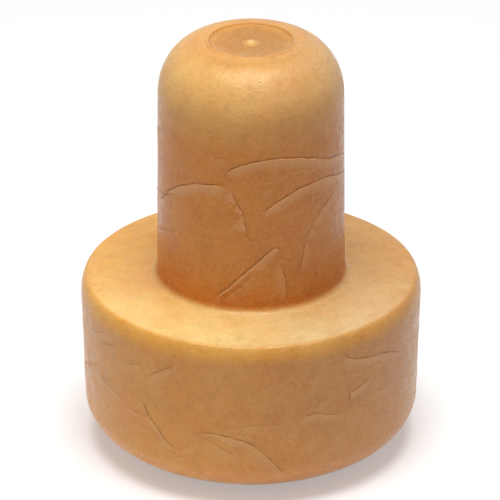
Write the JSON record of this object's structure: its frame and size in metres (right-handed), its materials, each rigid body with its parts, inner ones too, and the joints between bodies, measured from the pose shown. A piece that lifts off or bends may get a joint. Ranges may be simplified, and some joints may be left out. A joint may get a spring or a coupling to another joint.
{
  "type": "t-top stopper",
  "caption": "One-piece moulded T-top bottle stopper: a wide disc head with a domed, drafted plug and a small recess in its tip.",
  "frame": {"origin": "centre of the head's flat face, on which the stopper stands", "axes": "+Z along the stopper's axis, from the head towards the plug's tip"},
  "size_m": [0.0354, 0.0354, 0.045],
  "materials": {
    "moulded_foam": "satin skin on foamed elastomer, tan"
  },
  "bodies": {
    "root": {"stopper_body": "moulded_foam"}
  },
  "joints": []
}
